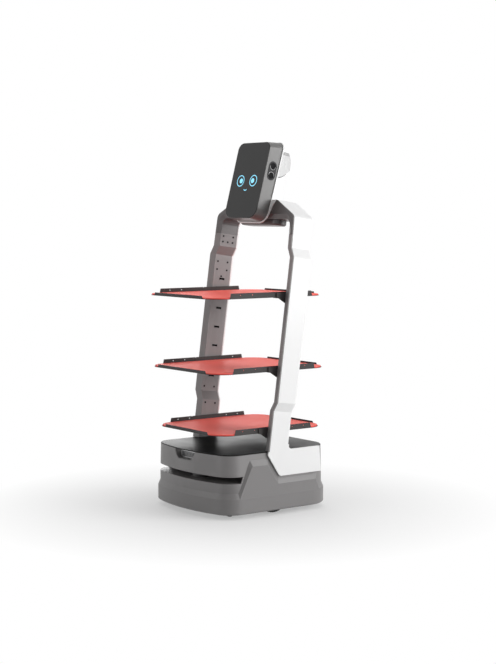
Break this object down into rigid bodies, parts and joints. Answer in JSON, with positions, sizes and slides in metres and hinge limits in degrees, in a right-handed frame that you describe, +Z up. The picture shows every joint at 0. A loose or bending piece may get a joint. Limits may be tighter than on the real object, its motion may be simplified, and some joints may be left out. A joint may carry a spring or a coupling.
{
  "type": "autonomous mobile delivery robot",
  "caption": "Indoor delivery robot: wheeled base with a laser slot, leaning two-legged arch, open lipped trays with mats, and a tilted tablet head.",
  "frame": {"origin": "on the floor, in the middle of the footprint", "axes": "+Z up, the robot's front faces -Y, its left side is at +X"},
  "size_m": [0.5286, 0.5605, 1.4017],
  "materials": {
    "shell_grey": "satin",
    "cover_white": "smooth satin gloss",
    "frame_grey": "fine satin powder coat",
    "tray_steel": "fine satin powder coat",
    "mat_red": "matt silicone",
    "gloss_black": "gloss",
    "matte_black": "matt",
    "head_grey": "satin",
    "trim_silver": "satin, silver grey",
    "tyre_black": "matt",
    "hub_grey": "cast",
    "zinc_steel": "zinc plated",
    "motor_case": "cast",
    "plate_alu": "plain",
    "battery_case": "matt",
    "contact_brass": "plain",
    "board_green": "satin"
  },
  "bodies": {
    "robot": {"battery": "battery_case", "beam_frame": "frame_grey", "beam_pod": "gloss_black", "camera_pocket": "shell_grey", "charge_block": "matte_black", "charge_contacts": "contact_brass", "chassis_plate": "plate_alu", "display_panel": "gloss_black", "drive_computer": "motor_case", "drive_motor_left": "motor_case", "drive_motor_right": "motor_case", "front_camera": "gloss_black", "head_back": "trim_silver", "head_board": "board_green", "head_glass": "gloss_black", "head_housing": "head_grey", "laser_body": "matte_black", "leg_cover_left": "cover_white", "leg_cover_right": "cover_white", "leg_frame_left": "frame_grey", "leg_frame_right": "frame_grey", "leg_screws": "zinc_steel", "lower_shell": "shell_grey", "module_cap": "cover_white", "neck": "cover_white", "neck_plate": "trim_silver", "rear_module": "cover_white", "roof_cover": "cover_white", "side_panel_left": "shell_grey", "side_panel_right": "shell_grey", "speaker_trim_left": "matte_black", "speaker_trim_right": "matte_black", "top_cover": "gloss_black", "tray_bracket_bottom_left": "tray_steel", "tray_bracket_bottom_right": "tray_steel", "tray_bracket_middle_left": "tray_steel", "tray_bracket_middle_right": "tray_steel", "tray_bracket_top_left": "tray_steel", "tray_bracket_top_right": "tray_steel", "tray_mat_bottom": "mat_red", "tray_mat_middle": "mat_red", "tray_mat_top": "mat_red", "tray_pan_bottom": "tray_steel", "tray_pan_middle": "tray_steel", "tray_pan_top": "tray_steel", "upper_shell": "shell_grey"},
    "wheel_left": {"wheel_hub_left": "hub_grey", "tyre_left": "tyre_black"},
    "wheel_right": {"wheel_hub_right": "hub_grey", "tyre_right": "tyre_black"},
    "laser_rotor": {"laser_rotor": "gloss_black"},
    "power_button": {"power_button": "matte_black"},
    "caster_fork_front_left": {"caster_fork_front_left": "zinc_steel"},
    "caster_wheel_front_left": {"caster_wheel_front_left": "tyre_black"},
    "caster_fork_front_right": {"caster_fork_front_right": "zinc_steel"},
    "caster_wheel_front_right": {"caster_wheel_front_right": "tyre_black"},
    "caster_fork_rear_left": {"caster_fork_rear_left": "zinc_steel"},
    "caster_wheel_rear_left": {"caster_wheel_rear_left": "tyre_black"},
    "caster_fork_rear_right": {"caster_fork_rear_right": "zinc_steel"},
    "caster_wheel_rear_right": {"caster_wheel_rear_right": "tyre_black"}
  },
  "joints": [
    {"name": "drive_wheel_left", "type": "hinge", "parent": "robot", "child": "wheel_left", "pos_m": [0.19, 0.02, 0.075], "axis": [1, 0, 0], "continuous": true},
    {"name": "drive_wheel_right", "type": "hinge", "parent": "robot", "child": "wheel_right", "pos_m": [-0.19, 0.02, 0.075], "axis": [1, 0, 0], "continuous": true},
    {"name": "laser_spin", "type": "hinge", "parent": "robot", "child": "laser_rotor", "pos_m": [0, -0.177, 0.139], "axis": [0, 0, 1], "continuous": true},
    {"name": "power_press", "type": "slide", "parent": "robot", "child": "power_button", "axis": [0, -1, 0], "range_m": [0, 0.0025], "stiffness_N_per_m": 400},
    {"name": "caster_swivel_front_left", "type": "hinge", "parent": "robot", "child": "caster_fork_front_left", "pos_m": [0.166, -0.178, 0.055], "axis": [0, 0, 1], "continuous": true},
    {"name": "caster_roll_front_left", "type": "hinge", "parent": "caster_fork_front_left", "child": "caster_wheel_front_left", "pos_m": [0.166, -0.162, 0.024], "axis": [1, 0, 0], "continuous": true},
    {"name": "caster_swivel_front_right", "type": "hinge", "parent": "robot", "child": "caster_fork_front_right", "pos_m": [-0.166, -0.178, 0.055], "axis": [0, 0, 1], "continuous": true},
    {"name": "caster_roll_front_right", "type": "hinge", "parent": "caster_fork_front_right", "child": "caster_wheel_front_right", "pos_m": [-0.166, -0.162, 0.024], "axis": [1, 0, 0], "continuous": true},
    {"name": "caster_swivel_rear_left", "type": "hinge", "parent": "robot", "child": "caster_fork_rear_left", "pos_m": [0.166, 0.186, 0.055], "axis": [0, 0, 1], "continuous": true},
    {"name": "caster_roll_rear_left", "type": "hinge", "parent": "caster_fork_rear_left", "child": "caster_wheel_rear_left", "pos_m": [0.166, 0.202, 0.024], "axis": [1, 0, 0], "continuous": true},
    {"name": "caster_swivel_rear_right", "type": "hinge", "parent": "robot", "child": "caster_fork_rear_right", "pos_m": [-0.166, 0.186, 0.055], "axis": [0, 0, 1], "continuous": true},
    {"name": "caster_roll_rear_right", "type": "hinge", "parent": "caster_fork_rear_right", "child": "caster_wheel_rear_right", "pos_m": [-0.166, 0.202, 0.024], "axis": [1, 0, 0], "continuous": true}
  ]
}
